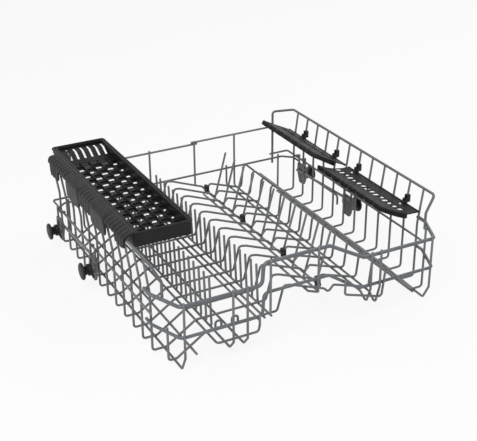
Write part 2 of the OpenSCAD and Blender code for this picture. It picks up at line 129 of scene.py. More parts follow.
def tubeMesh(runs, sides=tube["sides"]):
    # all tubes of a piece as one list of points and faces, each end closed by a fan; a run is
    # (corners, diameter, bend radius, soft edge)
    verts, faces, tips, base = [], [], [], 0
    for corners, diameter, radius, ease in runs:
        rings, first, last, tip = tubeRings(*roundPath(corners, radius), diameter / 2, sides, ease)
        count = len(rings)
        index = base + np.arange(count * sides).reshape(count, sides)
        nxt = np.roll(index, -1, axis=1)
        quads = np.stack([index[:-1], nxt[:-1], nxt[1:], index[1:]], -1).reshape(-1, 4)
        poleA, poleB = base + count * sides, base + count * sides + 1
        fanA = np.stack([np.full(sides, poleA), nxt[0], index[0]], -1)
        fanB = np.stack([np.full(sides, poleB), index[-1], nxt[-1]], -1)
        verts += [rings.reshape(-1, 3), first[None], last[None]]
        faces += quads.tolist() + fanA.tolist() + fanB.tolist()
        tips += [np.repeat(tip, sides), [1.0, 1.0]]
        base += count * sides + 2
    return np.concatenate(verts), faces, np.concatenate(tips)


def newPiece(name, verts, faces, body, slot, nodes, lighterMark, flat=None):
    # a finished piece on its body, in its slot, standing for CAD nodes; the lighter mark, 0 to 1 a point, is
    # worn coating at wire ends and a painted highlight on the dividers' tops
    mesh = bpy.data.meshes.new(name)
    mesh.from_pydata(((np.asarray(verts) + rack["shift"]) / 1000).tolist(), [], faces)
    mesh.update()
    lighterMarkData = mesh.attributes.new("endWearAndPaintedHighlight", "FLOAT", "POINT")
    lighterMarkData.data.foreach_set("value", np.asarray(lighterMark, np.float32))
    mesh.shade_smooth()
    if flat is not None:
        mesh.set_sharp_from_angle(angle=math.radians(flat))
    piece = bpy.data.objects.new(name, mesh)
    scene.collection.objects.link(piece)
    mesh.materials.append(finish[slot])
    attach(piece, body)
    if nodes:
        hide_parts(*nodes)
    return piece


def addNode(tree, kind, settings=None, **inputs):
    # an input is named, or is i and its place in the list; a socket is linked to it and any
    # other value is set
    node = tree.nodes.new(kind)
    for key, value in (settings or {}).items():
        setattr(node, key, value)
    for key, value in inputs.items():
        byPlace = key[0] == "i" and key[1:].isdigit()
        socket = node.inputs[int(key[1:]) if byPlace else key.replace("_", " ")]
        if isinstance(value, bpy.types.NodeSocket):
            tree.links.new(value, socket)
        else:
            socket.default_value = value
    return node


def addMath(tree, operation, first, second, clamp=False):
    settings = {"operation": operation, "use_clamp": clamp}
    return addNode(tree, "ShaderNodeMath", settings, i0=first, i1=second).outputs[0]


def mixColors(tree, factor, first, second):
    # each colour is a socket or a linear value
    mix = addNode(tree, "ShaderNodeMix", {"data_type": "RGBA"}, Factor=factor)
    for socket, color in zip([i for i in mix.inputs if i.type == "RGBA"], (first, second)):
        if isinstance(color, bpy.types.NodeSocket):
            tree.links.new(color, socket)
        else:
            socket.default_value = (*color, 1)
    return mix.outputs[2]


def newGroup(name, inputs, outputs):
    # inputs are numbers with their default, or None for a vector; outputs are numbers
    group = bpy.data.node_groups.new(name, "ShaderNodeTree")
    for title, value in inputs.items():
        kind = "NodeSocketVector" if value is None else "NodeSocketFloat"
        socket = group.interface.new_socket(title, in_out="INPUT", socket_type=kind)
        if value is not None:
            socket.default_value = value
    for title in outputs:
        group.interface.new_socket(title, in_out="OUTPUT", socket_type="NodeSocketFloat")
    return group, group.nodes.new("NodeGroupInput"), group.nodes.new("NodeGroupOutput")


noise = dict(fine=900.0, cloud=35.0, smear=120.0, spots=260.0)  # cells per metre


def makeGrainGroup():
    # fine pebbled skin: small noise for height, two larger ones for cloudy shade and gloss
    inputs = {"Place": None, "Fine": noise["fine"], "Cloud": noise["cloud"]}
    group, enter, leave = newGroup("skinGrain", inputs, ("Height", "Cloudy", "Smears"))
    place, fine, cloud = (enter.outputs[title] for title in inputs)
    layers = {"Height": dict(Scale=fine, Detail=2.0), "Cloudy": dict(Scale=cloud, Detail=3.0),
              "Smears": dict(Scale=noise["smear"], Detail=4.0, Roughness=0.65)}
    for title, values in layers.items():
        layer = addNode(group, "ShaderNodeTexNoise", Vector=place, **values)
        group.links.new(layer.outputs["Fac"], leave.inputs[title])
    return group


def makeFilmGroup():
    # thin film of dried rinse water: speckles that sit mostly on surfaces that face up
    group, enter, leave = newGroup("rinseFilm", {"Place": None, "Amount": 0.3}, ("Mask",))
    spots = addNode(group, "ShaderNodeTexNoise", Vector=enter.outputs["Place"],
                    Scale=noise["spots"], Detail=3.0, Roughness=0.7)
    gate = addNode(group, "ShaderNodeMapRange", Value=spots.outputs["Fac"], From_Min=0.5, From_Max=0.72)
    geometry = addNode(group, "ShaderNodeNewGeometry")
    up = addNode(group, "ShaderNodeSeparateXYZ", Vector=geometry.outputs["Normal"])
    face = addNode(group, "ShaderNodeMapRange", Value=up.outputs["Z"], From_Min=-0.2, From_Max=1.0)
    both = addMath(group, "MULTIPLY", gate.outputs["Result"], face.outputs["Result"])
    amount = addMath(group, "MULTIPLY", both, enter.outputs["Amount"])
    group.links.new(amount, leave.inputs["Mask"])
    return group


grainGroup, filmGroup = makeGrainGroup(), makeFilmGroup()
filmColor = (0.42, 0.43, 0.44)


def skinMaterial(name, dark, light, rough, bump, film, fine=noise["fine"], metallic=0.0, endWearAndPaintedHighlight=0.0,
                 shine=0.5):
    # dark and light are the two ends of the cloudy shade, in linear colour
    material = bpy.data.materials.new(name)
    material.use_nodes = True
    tree = material.node_tree
    shader = tree.nodes["Principled BSDF"]
    place = addNode(tree, "ShaderNodeTexCoord").outputs["Object"]
    grain = addNode(tree, "ShaderNodeGroup", {"node_tree": grainGroup}, Place=place, Fine=fine)
    rinse = addNode(tree, "ShaderNodeGroup", {"node_tree": filmGroup}, Place=place, Amount=film)
    shade = addNode(tree, "ShaderNodeMapRange", Value=grain.outputs["Cloudy"], From_Min=0.35, From_Max=0.65)
    color = mixColors(tree, shade.outputs["Result"], dark, light)
    # lighter where a point attribute says: worn coating at wire ends, and a painted highlight along the tray
    # dividers' top edges
    if endWearAndPaintedHighlight:
        lighterMarkData = addNode(tree, "ShaderNodeAttribute", {"attribute_name": "endWearAndPaintedHighlight"})
        amount = addMath(tree, "MULTIPLY", lighterMarkData.outputs["Fac"], endWearAndPaintedHighlight)
        color = mixColors(tree, amount, color, [c * 1.5 + 0.02 for c in light])
    color = mixColors(tree, rinse.outputs["Mask"], color, filmColor)
    tree.links.new(color, shader.inputs["Base Color"])
    gloss = addNode(tree, "ShaderNodeMapRange", Value=grain.outputs["Smears"], From_Min=0.3, From_Max=0.7,
                    To_Min=rough - 0.06, To_Max=rough + 0.1)
    tree.links.new(gloss.outputs["Result"], shader.inputs["Roughness"])
    relief = addNode(tree, "ShaderNodeBump", Height=grain.outputs["Height"], Strength=bump, Distance=0.0004)
    tree.links.new(relief.outputs["Normal"], shader.inputs["Normal"])
    shader.inputs["Metallic"].default_value = metallic
    shader.inputs["Specular IOR Level"].default_value = shine
    return material


# finishes by slot, dark and light shade first, then roughness; the clips' goes on CAD nodes
finish = {
    "wire_coating": skinMaterial("nylonCoatedWire", (0.105, 0.110, 0.116), (0.140, 0.145, 0.150), 0.40,
                                 bump=0.10, film=0.18, endWearAndPaintedHighlight=0.5),
    "rail_coating": skinMaterial("nylonCoatedRail", (0.095, 0.107, 0.120), (0.130, 0.142, 0.155), 0.36,
                                 bump=0.10, film=0.15, endWearAndPaintedHighlight=0.4),
    # on the tray the lighter mark is a painted highlight along the dividers' top edges
    "tray_black": skinMaterial("trayPolypropylene", (0.008, 0.008, 0.009), (0.014, 0.014, 0.016), 0.46,
                               bump=0.18, film=0.04, fine=1600.0, endWearAndPaintedHighlight=0.22, shine=0.24),
    "shelf_black": skinMaterial("shelfPolypropylene", (0.004, 0.004, 0.005), (0.009, 0.009, 0.010), 0.50,
                                bump=0.18, film=0.03, fine=1600.0, shine=0.2),
    "clips": skinMaterial("clipPlastic", (0.006, 0.006, 0.007), (0.011, 0.011, 0.012), 0.45,
                          bump=0.15, film=0.03, fine=1800.0, shine=0.25),
    "wheel_black": skinMaterial("wheelPlastic", (0.006, 0.006, 0.007), (0.010, 0.010, 0.011), 0.44,
                                bump=0.08, film=0.02, fine=2000.0, shine=0.22),
    "bracket_grey": skinMaterial("bracketPlastic", (0.085, 0.088, 0.092), (0.120, 0.124, 0.128), 0.45,
                                 bump=0.2, film=0.15, fine=1500.0),
    "pin_steel": skinMaterial("darkenedSteelPin", (0.10, 0.10, 0.11), (0.16, 0.16, 0.17), 0.32,
                              bump=0.04, film=0.1, fine=2500.0, metallic=1.0),
}
print("materials made")


# corners of a cross wire's floor from left to right, as (x, z)
floorZ = rack["floorHeight"]
floorRun = floorZ - wireGap  # height of a wire that runs just under the plateau
slopeFoot, slopeTop = (-half + 23.5, 0), (-half + 73, floorZ)
crestFoot, crestLeft = (half - 286.8, floorZ), (half - 275.5, floorZ + 42)
crestRight, notchLeft = (half - 263.5, floorZ + 39.9), (half - 202, floorZ + 16.1)
notch, hump = (half - 194, floorZ + 7.5), (half - 185, floorZ + 18.5)
foot, ridge, toe = (half - 118, floorZ - 4), (half - 112.5, floorZ + 46.8), (half - 28, 0)


def bendCentre(a, b, c):
    # middle of the bend at b, between the runs from a and to c
    a, b, c = (np.asarray(v, float) for v in (a, b, c))
    u, v = unitRows(a - b), unitRows(c - b)
    return b + unitRows(u + v) * bend / math.sin(math.acos(u @ v) / 2)


def heightBelow(a, b, x):
    # height of a wire at x that lies just under the sloping run from a to b
    reach = math.hypot(b[0] - a[0], b[1] - a[1]) / (b[0] - a[0])
    return a[1] + (b[1] - a[1]) * (x - a[0]) / (b[0] - a[0]) - wireGap * reach


def floorProfile(wall):
    # a cross wire's corners between two walls that stand this far from the middle
    return [(-wall, 0), slopeFoot, slopeTop, crestFoot, crestLeft, crestRight, notchLeft, notch, hump, foot,
            ridge, toe, (wall, 0)]


def atRow(profile, y):
    return [(x, y, z) for x, z in profile]


def leanX(z):
    # x of a wall wire at height z above the kink
    return half + rack["wallLean"] * (z - rack["wallKink"]) / (rack["wallHeight"] - rack["wallKink"])


def crossWire(k):
    wall = [(half, rack["wallKink"]), (half + rack["wallLean"], rack["wallHeight"])]
    return atRow([(-x, z) for x, z in wall[::-1]] + floorProfile(half) + wall, rowY(k))


rail = dict(cornerBefore=12, endBehind=8, slant=0.06, bend=9)
rails = {
    "frontTopRail": ("front_top_rail", dict(z=rack["topRailHeight"], d=rack["topRail"], rise=36.2,
                                            left=-half + 150.5, right=half - 215, end=half - 151.5)),
    "frontLowRail": ("front_low_rail", dict(z=rack["lowRailHeight"], d=rack["lowRail"], rise=38.1,
                                            left=-half + 151, right=half - 215, end=half - 158.5)),
}


def railOuter(z, d):
    # x of a rail that runs along the outside of the wall wires
    return leanX(max(z, rack["wallKink"])) + (wireD + d) / 2 + weldGap


def insideRail(z, d, other, y):
    # x of a wire that stands against the inner side of a rail's cut-back corner
    start = (d - rack["topRail"]) / 2
    side = unitRows(np.array([railOuter(z, d) - rack["railCorner"], rowY(0) - rail["cornerBefore"] - start]))
    return rack["railCorner"] + (side[0] * (y - start) - (d + other) / 2 - weldGap) / side[1]


def railPath(z, d, rise, left, right, end):
    # across the front with a raised grip from left to right, and back along both walls
    outer, y, corner = railOuter(z, d), (d - rack["topRail"]) / 2, rack["railCorner"]
    bendY, endY = rowY(0) - rail["cornerBefore"], rowY(0) + rail["endBehind"]
    return [(-outer, endY, z), (-outer, bendY, z), (-corner, y, z), (left, y, z),
            (left + rise * rail["slant"], y, z + rise), (right, y, z + rise), (end, y, z), (corner, y, z),
            (outer, bendY, z), (outer, endY, z)]


# lengthwise wires: how far the foot slants back, where a dip lies and ends, how high the foot
# starts over the run and under the lower rail, where a wire with no rear riser ends
lengthwise = dict(slant=13, dipAt=10, dipEnd=27, footRise=25, underRail=5, pastLastRow=12)


def rearEnd(x, z, top):
    return [(x, riserY, z), (x, riserY, top)] if top else [(x, rowY(lastRow) + lengthwise["pastLastRow"], z)]


def longWire(x, z, frontTop, rearTop, footRise=lengthwise["footRise"], dip=0):
    # riser before the rails, a slanting foot that may dip below the run, the run under the
    # cross wires, the rear riser
    leanZ = min(z + footRise, rack["lowRailHeight"] - lengthwise["underRail"])
    if dip:
        steps = [(x, frontY + lengthwise["dipAt"], z - dip), (x, frontY + lengthwise["dipEnd"], z)]
    else:
        steps = [(x, frontY + lengthwise["slant"], z)]
    return [(x, frontY, frontTop), (x, frontY, leanZ)] + steps + rearEnd(x, z, rearTop)


def openWire(x, z, stub, rearTop):
    # the same with a free front end, a little before the first cross wire
    return [(x, rowY(-1) - stub, z)] + rearEnd(x, z, rearTop)


def mirrored(path):
    return [(-x, y, z) for x, y, z in path]


# where the lengthwise wires and the back wires stand, and how high they reach
notchBend, footBend = bendCentre(notchLeft, notch, hump), bendCentre(hump, foot, ridge)
ridgeBend = bendCentre(foot, ridge, toe)
wireAt = dict(leftToe=-half + 21, slope=-half + 47.2, plateau=-half + 74.7, leftTines=-half + 101.3,
              besideTines=(-1.4, 22.2), loop=half - 337.1, middle=(half - 320.5, half - 310),
              rightTines=half - 298.5, gripLeft=half - 319, gripRight=half - 236.5, backLap=half - 207,
              foot=half - 139.5, toeFree=half - 31, rightToe=half - 24.5, tineRun=floorZ - 23, tineFoot=15.5,
              lowRiser=rack["midHeight"] + 2, overTop=rack["topRailHeight"] + 8.5, overGrip=(41, 44.5),
              dips=(11, 13), stub=4, slopeStub=20, toeStub=5)
back = dict(rail=127.5, low=64, leftEnd=12, leftLap=199, rightLap=212, rightEnd=37, lowCorner=14,
            lowBend=rowY(lastRow) + 8, lowEnd=rowY(lastRow) - 14, riserLow=44, overRail=8)
lowRiser, highRiser, overTop = wireAt["lowRiser"], rack["highRiser"], wireAt["overTop"]
leftTineX, rightTineX, tineRun = wireAt["leftTines"], wireAt["rightTines"], wireAt["tineRun"]
crestZ = heightBelow(crestRight, notchLeft, wireAt["gripRight"])
ridgeWireZ = ridgeBend[1] + bend + (wireD + 0.06 + rimD) / 2 + weldGap
midX = half + wireGap

firstInset = insideRail(rack["lowRailHeight"], rack["lowRail"], wireD, rowY(-1))
first = dict(overLowRail=3.5, overTopRail=4.5)
firstWire = ([(-firstInset, rack["lowRailHeight"] + first["overLowRail"])] + floorProfile(firstInset)
             + [(firstInset, rack["topRailHeight"] + first["overTopRail"])])
barEnd = 0.64  # share of the way from the ridge down to the toe
humpBar = [(hump[0] - 2, hump[1] + 27), (hump[0] - 2, hump[1] + 1), (foot[0], foot[1] + 1),
           (ridge[0], ridge[1] + 0.7), (ridge[0] + (toe[0] - ridge[0]) * barEnd, ridge[1] * (1 - barEnd))]

rim = dict(before=29, legInset=33, frontDrop=29, rearCorner=riserY - 2, underTopRail=4, underMid=18, bend=6)
rimZ = rack["wallHeight"] + rimD / 2 + weldGap
rimX, rimFrontY, legX = half + rack["wallLean"], rowY(0) - rim["before"], half - rim["legInset"]
rimEndX = insideRail(rack["topRailHeight"], rack["topRail"], rimD, rimFrontY)
rimPath = [(rimEndX, rimFrontY, rack["topRailHeight"] - rim["underTopRail"]),
           (rimEndX, rimFrontY, rimZ - rim["frontDrop"]), (rimX, rimFrontY, rimZ),
           (rimX, rim["rearCorner"], rimZ), (legX, legY, rimZ),
           (legX, legY, rack["midHeight"] - rim["underMid"])]

midEnds = dict(front=rowY(0) - 12, rear=legX - 4)
midPath = [(midX, midEnds["front"], rack["midHeight"]), (midX, midBackY, rack["midHeight"]),
           (midEnds["rear"], midBackY, rack["midHeight"])]
wheelRows = (6, 10.5)
brace = dict(d=5, frontZ=54, rearZ=42, past=13)
braceX = half + (wireD + brace["d"]) / 2 + weldGap
bracePath = [(braceX, rowY(wheelRows[0]) - brace["past"], brace["frontZ"]),
             (braceX, rowY(wheelRows[1]) + brace["past"], brace["rearZ"])]
innerBrace = ((rowY(9) + 20, 53), (rowY(6) + 16, 53), (rowY(6) + 16, 35))  # corners as (y, z)
ridgeEnds = (frontY - 2, rowY(9) + 15)
loops = dict(places=(-half + 90, -half + 118), width=10, low=floorZ - 1.5, high=floorZ + 9.5, bend=4)


def stopLoop(x):
    corners = [(x, loops["low"]), (x, loops["high"]), (x + loops["width"], loops["high"]),
               (x + loops["width"], loops["low"])]
    return atRow(corners, rowY(-1) + wireGap)


def loopWire():
    # down a slanting front on the right, across to the left, back under the plateau and up
    left, y, right = wireAt["plateau"], frontY + wireGap, wireAt["loop"]
    return [(right, frontY, rack["lowRailHeight"] + 6), (right, frontY, floorRun + 14), (right, y, floorRun),
            (left, y, floorRun), (left, riserY, floorRun), (left, riserY, highRiser)]


def gripWire():
    # tall riser near the grip's right end, then a short run under the crest's slope
    x = wireAt["gripRight"]
    return [(x, frontY, rack["topRailHeight"] + wireAt["overGrip"][1]), (x, frontY, crestZ + 13),
            (x, rowY(-1) - 8, crestZ), (x, rowY(2), crestZ)]


wirePieces = {
    "crossWiresRear": ("cross_wires_rear", [crossWire(k) for k in range(8, rack["rows"])]),
    "crossWiresMiddle": ("cross_wires_middle", [crossWire(k) for k in range(4, 8)]),
    "crossWiresFront": ("cross_wires_front", [crossWire(k) for k in range(4)]),
    "firstCrossWires": ("front_cross_wires", [atRow(firstWire, rowY(-1)), atRow(humpBar, frontY)]),
    "longWiresLeft": ("long_wires_left", [
        longWire(wireAt["leftToe"], -wireGap, overTop, lowRiser),
        openWire(wireAt["slope"], heightBelow(slopeFoot, slopeTop, wireAt["slope"]), wireAt["slopeStub"],
                 lowRiser),
        loopWire(),
        *(longWire(leftTineX + beside, tineRun, overTop, top, wireAt["tineFoot"])
          for beside, top in zip(wireAt["besideTines"], (lowRiser, highRiser))),
        [(wireAt["gripLeft"], frontY, rack["topRailHeight"] + wireAt["overGrip"][0]),
         (wireAt["gripLeft"], frontY, rack["lowRailHeight"])],
        *(openWire(x, floorRun, wireAt["stub"], lowRiser) for x in wireAt["middle"]),
        openWire(rightTineX, floorRun, wireAt["stub"], highRiser)]),
    "longWiresRight": ("long_wires_right", [
        gripWire(),
        longWire(wireAt["foot"], heightBelow(hump, foot, wireAt["foot"]), overTop, lowRiser,
                 dip=wireAt["dips"][0]),
        longWire(footBend[0], footBend[1] - bend - wireGap - 0.03, overTop, highRiser, dip=wireAt["dips"][1]),
        longWire(wireAt["rightToe"], -wireGap, overTop, lowRiser),
        openWire(wireAt["toeFree"], heightBelow(ridge, toe, wireAt["toeFree"]), wireAt["toeStub"], 0),
        [(wireAt["backLap"], riserY, back["riserLow"]),
         (wireAt["backLap"], riserY, back["rail"] + back["overRail"])]]),
    "backTopRail": ("back_top_rail", [
        [(-half + back["leftEnd"], backY, back["rail"]), (half - back["leftLap"], backY, back["rail"])],
        [(half - back["rightLap"], backY, back["rail"] + wireGap),
         (half - back["rightEnd"], backY, back["rail"] + wireGap)]]),
    "backLowWire": ("back_low_wire", [[
        (-midX, back["lowEnd"], back["low"]), (-midX, back["lowBend"], back["low"]),
        (-half + back["lowCorner"], backY, back["low"]), (half - back["lowCorner"], backY, back["low"]),
        (midX, back["lowBend"], back["low"]), (midX, back["lowEnd"], back["low"])]]),
    "stopLoops": ("stop_loops", [stopLoop(x) for x in loops["places"]]),
    "innerBrace": ("inner_brace", [[(half - wireGap, y, z) for y, z in innerBrace]]),
    "cupRidgeWire": ("cup_ridge_wire", [[(ridgeBend[0], y, ridgeWireZ) for y in ridgeEnds]]),
    "sideMidWires": ("side_mid_wires", [midPath, mirrored(midPath)]),
    "sideBraces": ("side_braces", [bracePath, mirrored(bracePath)]),
}
otherSizes = {"cupRidgeWire": rimD, "sideBraces": brace["d"]}
otherBends = {"stopLoops": loops["bend"]}
runsOf = {"basket": [], "fold_row": []}
easeOf = dict(wire=0.9, rim=1.0, rail=1.2, tine=1.3)  # soft edge of a cut end


def wirePiece(name, node, runs, body="basket", slot="wire_coating", sides=tube["sides"]):
    # tubes as one piece; their runs are kept for the webs
    runsOf[body] += runs
    verts, faces, lighterMark = tubeMesh(runs, sides)
    newPiece(name, verts, faces, body, slot, (node,), lighterMark)


for name, (node, paths) in wirePieces.items():
    size, radius = otherSizes.get(name, wireD), otherBends.get(name, bend)
    wirePiece(name, node, [(path, size, radius, easeOf["wire"]) for path in paths])
for name, node, path in (("rimLeft", "rim_left", mirrored(rimPath)), ("rimRight", "rim_right", rimPath)):
    wirePiece(name, node, [(path, rimD, rim["bend"], easeOf["rim"])], sides=tube["rimSides"])
for name, (node, values) in rails.items():
    wirePiece(name, node, [(railPath(**values), values["d"], rail["bend"], easeOf["rail"])],
              slot="rail_coating", sides=tube["railSides"])

tines = dict(top=69, behind=4.2)  # tip over the plateau's run, place behind a cross wire


def plateTines(x, run, lean):
    # leaning wires that stand on a lengthwise one, at each row and half way between
    root = run + wireD / 2 + weldGap
    height = floorRun + tines["top"] - root + wireD / 2
    reach = math.sin(math.radians(lean)) * height, math.cos(math.radians(lean)) * height
    rows = [k + part for k in range(rack["rows"]) for part in (0, 0.5) if k + part < lastRow]
    places = [rowY(k) + tines["behind"] for k in rows]
    return [([(x, y, root), (x + reach[0], y, root + reach[1])], wireD, bend, easeOf["tine"]) for y in places]


wirePiece("plateTinesLeft", "plate_tines_left", plateTines(leftTineX, tineRun, -1.8))
wirePiece("plateTinesRight", "plate_tines_right", plateTines(rightTineX, floorRun, -2.2))

fold = dict(x=notchBend[0], z=notchBend[1] - bend - wireD - 0.3, lean=math.radians(15.2), spread=9.6,
            length=100, before=13, behind=6)
foldDir = np.array([math.sin(fold["lean"]), 0, math.cos(fold["lean"])])
foldSide = np.array([math.cos(fold["lean"]), 0, -math.sin(fold["lean"])])
foldEnds = (rowY(0) - fold["before"], rowY(lastRow) + fold["behind"])
foldAxle = [[np.array([fold["x"], y, fold["z"]]) - foldDir * drop for y in foldEnds]
            for drop in (0, fold["spread"])]
foldRoots = [np.array([fold["x"], rowY(k) + tines["behind"], fold["z"]]) + foldSide * wireGap
             - foldDir * (fold["spread"] + 1) for k in range(lastRow)]  # the rearmost wire has none
foldTines = [[root, root + foldDir * fold["length"]] for root in foldRoots]
wirePiece("foldAxle", "fold_axle", [(path, wireD, bend, easeOf["wire"]) for path in foldAxle], "fold_row")
wirePiece("foldTines", "fold_tines", [(path, wireD, bend, easeOf["tine"]) for path in foldTines], "fold_row")
print("wires made")


# small webs of coating where two wires cross: how far they reach along the wires, how thick
# they are, how near the wires' skins have to be, how far apart two webs are, how parallel two
# wires may be
web = dict(reach=1.9, thick=1.15, near=0.45, cell=7.0, parallel=0.94, sides=8, rings=5)


def segmentList(runs):
    # starts, ends, radii and owners of the straight bits of all runs
    starts, ends, sizes, owners = [], [], [], []
    for i, (corners, diameter, radius, ease) in enumerate(runs):
        points = roundPath(corners, radius, 5)[0]
        starts.append(points[:-1])
        ends.append(points[1:])
        sizes.append(np.full(len(points) - 1, diameter / 2))
        owners.append(np.full(len(points) - 1, i))
    return tuple(np.concatenate(v) for v in (starts, ends, sizes, owners))


def crossings(runs):
    # closest points of every pair of straight bits p + m q and s + n t, from the two equations
    # that make their gap square to both, kept where the skins all but touch
    a, b, size, owner = segmentList(runs)
    found = []
    for i in range(len(runs) - 1):
        mine, other = owner == i, owner > i
        p, q, r = a[mine], b[mine] - a[mine], size[mine]
        s, t, u = a[other], b[other] - a[other], size[other]
        w = p[:, None] - s[None]
        qq, qt, tt = (q * q).sum(1)[:, None], q @ t.T, (t * t).sum(1)[None]
        qw, tw = (q[:, None] * w).sum(2), (t[None] * w).sum(2)
        span = np.maximum(qq * tt - qt * qt, 1e-9)
        m = np.clip((qt * tw - tt * qw) / span, 0, 1)
        n = np.clip((qt * m + tw) / tt, 0, 1)
        m = np.clip((qt * n - qw) / qq, 0, 1)
        onP, onS = p[:, None] + q[:, None] * m[..., None], s[None] + t[None] * n[..., None]
        gap = np.linalg.norm(onP - onS, axis=2) - r[:, None] - u[None]
        slant = np.abs(qt) / np.sqrt(qq * tt)
        hit = (gap < web["near"]) & (slant < web["parallel"])
        for x, y in zip(*np.nonzero(hit)):
            found.append((gap[x, y], onP[x, y], onS[x, y], q[x], t[y], r[x], u[y]))
    found.sort(key=lambda f: f[0])
    kept = []
    for gap, onP, onS, q, t, r, u in found:
        centre = (onP * u + onS * r) / (r + u)
        if all(np.abs(centre - k[0]).max() > web["cell"] for k in kept):
            kept.append((centre, unitRows(onP - onS), unitRows(q)))
    return kept


def webMesh(spots):
    # flattened ball at each crossing, wide between the two wires and thin across the gap
    lat = np.linspace(-np.pi / 2, np.pi / 2, web["rings"] + 2)[1:-1]
    lon = np.linspace(0, 2 * np.pi, web["sides"], endpoint=False)
    ball = np.stack([np.outer(np.cos(lat), np.cos(lon)), np.outer(np.cos(lat), np.sin(lon)),
                     np.outer(np.sin(lat), np.ones_like(lon))], -1)
    ball = np.concatenate([ball.reshape(-1, 3), [[0, 0, -1], [0, 0, 1]]])
    ball = ball * (web["reach"], web["reach"], web["thick"])
    grid = np.arange(web["rings"] * web["sides"]).reshape(web["rings"], web["sides"])
    nxt = np.roll(grid, -1, 1)
    quads = np.stack([grid[:-1], nxt[:-1], nxt[1:], grid[1:]], -1).reshape(-1, 4)
    low, high = grid.size, grid.size + 1
    fans = np.concatenate([np.stack([np.full(web["sides"], low), nxt[0], grid[0]], -1),
                           np.stack([np.full(web["sides"], high), grid[-1], nxt[-1]], -1)])
    verts, faces = [], []
    for i, (centre, across, run) in enumerate(spots):
        first = unitRows(run - across * (run @ across))
        second = np.cross(across, first)
        verts.append(centre + ball @ np.stack([first, second, across]))
        faces += (quads + i * len(ball)).tolist() + (fans + i * len(ball)).tolist()
    return np.concatenate(verts), faces


for name, body in (("coatingWebs", "basket"), ("foldRowWebs", "fold_row")):
    spots = crossings(runsOf[body])
    verts, faces = webMesh(spots)
    newPiece(name, verts, faces, body, "wire_coating", (), np.zeros(len(verts)))
    print(name, "made:", len(spots))


def plateMesh(u, v, keep, place):
    # closed plate over a grid of cells: a face above and below each kept cell, and a side
    # wall wherever a kept cell meets an open one; place(u, v, side) gives the points
    if keep is None:
        keep = np.ones((len(u) - 1, len(v) - 1), bool)
    gridU, gridV = np.meshgrid(np.asarray(u, float), np.asarray(v, float), indexing="ij")
    verts = np.concatenate([place(gridU, gridV, side).reshape(-1, 3) for side in (1.0, -1.0)])
    top = np.arange(gridU.size).reshape(gridU.shape)
    low = top + gridU.size
    i, j = np.nonzero(keep)
    quads = [np.stack([top[i, j], top[i + 1, j], top[i + 1, j + 1], top[i, j + 1]], -1),
             np.stack([low[i, j], low[i, j + 1], low[i + 1, j + 1], low[i + 1, j]], -1)]
    framed = np.pad(keep, 1)
    edges = ((-1, 0, (0, 0), (0, 1)), (1, 0, (1, 1), (1, 0)), (0, -1, (1, 0), (0, 0)), (0, 1, (0, 1), (1, 1)))
    for di, dj, a, b in edges:
        beside = framed[1 + di:framed.shape[0] - 1 + di, 1 + dj:framed.shape[1] - 1 + dj]
        i, j = np.nonzero(keep & ~beside)
        quads.append(np.stack([top[i + a[0], j + a[1]], top[i + b[0], j + b[1]],
                               low[i + b[0], j + b[1]], low[i + a[0], j + a[1]]], -1))
    quads = np.concatenate(quads)
    used, flat = np.unique(quads, return_inverse=True)
    return verts[used], flat.reshape(-1, 4).tolist()


def prismMesh(outline, low, high, place):
    # outline drawn counterclockwise and carried from low to high; place(a, b, c) gives points
    a, b = np.asarray(outline, float).T
    count = len(a)
    verts = np.concatenate([place(a, b, np.full(count, low)), place(a, b, np.full(count, high))])
    ring = np.arange(count)
    nxt = np.roll(ring, -1)
    sides = np.stack([ring, nxt, nxt + count, ring + count], -1).tolist()
    return verts, sides + [ring[::-1].tolist(), (ring + count).tolist()]


def flipFaces(part):
    return part[0], [list(face)[::-1] for face in part[1]]


def joinMeshes(parts):
    # several meshes as one, each one's point numbers counted on from the last
    verts, faces, base = [], [], 0
    for points, polygons in parts:
        verts.append(points)
        faces += [[i + base for i in polygon] for polygon in polygons]
        base += len(points)
    return np.concatenate(verts), faces


def roundedPlan(x0, x1, y0, y1, radius, stations=(), steps=6):
    # plan of a rounded rectangle, counterclockwise from the front right corner, with extra
    # points on both long sides; returns points and outward directions
    turn = np.linspace(0, np.pi / 2, steps)
    corners = ((x1 - radius, y0 + radius, -np.pi / 2), (x1 - radius, y1 - radius, 0),
               (x0 + radius, y1 - radius, np.pi / 2), (x0 + radius, y0 + radius, np.pi))
    points, out = [], []
    for n, (cx, cy, start) in enumerate(corners):
        ray = np.stack([np.cos(start + turn), np.sin(start + turn)], -1)
        points.append((cx, cy) + ray * radius)
        out.append(ray)
        if n in (0, 2):
            x, ys, side = (x1, stations, 1.0) if n == 0 else (x0, stations[::-1], -1.0)
            points.append(np.stack([np.full(len(ys), x), ys], -1))
            out.append(np.tile((side, 0.0), (len(ys), 1)))
    return np.concatenate(points), np.concatenate(out)


def ringFaces(count, layers):
    # quads of a surface closed both ways: round the plan and round the wall's profile
    index = np.arange(count * layers).reshape(count, layers)
    after, inner = np.roll(index, -1, 0), np.roll(index, -1, 1)
    both = np.roll(after, -1, 1)
    return np.stack([index, after, both, inner], -1).reshape(-1, 4).tolist()


def smoothPiece(name, mesh, body, slot, node, edge, flat=40, paintedTopHighlight=None):
    # a moulded piece; edge is the width of its soft edges, the last argument the height where a painted
    # highlight starts and how fast it grows with height
    verts, faces = mesh
    # painted highlight: lighter towards the top
    lighterMarkData = np.zeros(len(verts)) if paintedTopHighlight is None else np.clip((verts[:, 2] - paintedTopHighlight[0]) / paintedTopHighlight[1], 0, 1)
    piece = newPiece(name, verts, faces, body, slot, (node,), lighterMarkData, flat)
    if edge:
        bevel = piece.modifiers.new("softEdges", "BEVEL")
        bevel.width, bevel.segments, bevel.limit_method = edge / 1000, 2, "ANGLE"
        bevel.angle_limit, bevel.harden_normals = math.radians(38), True


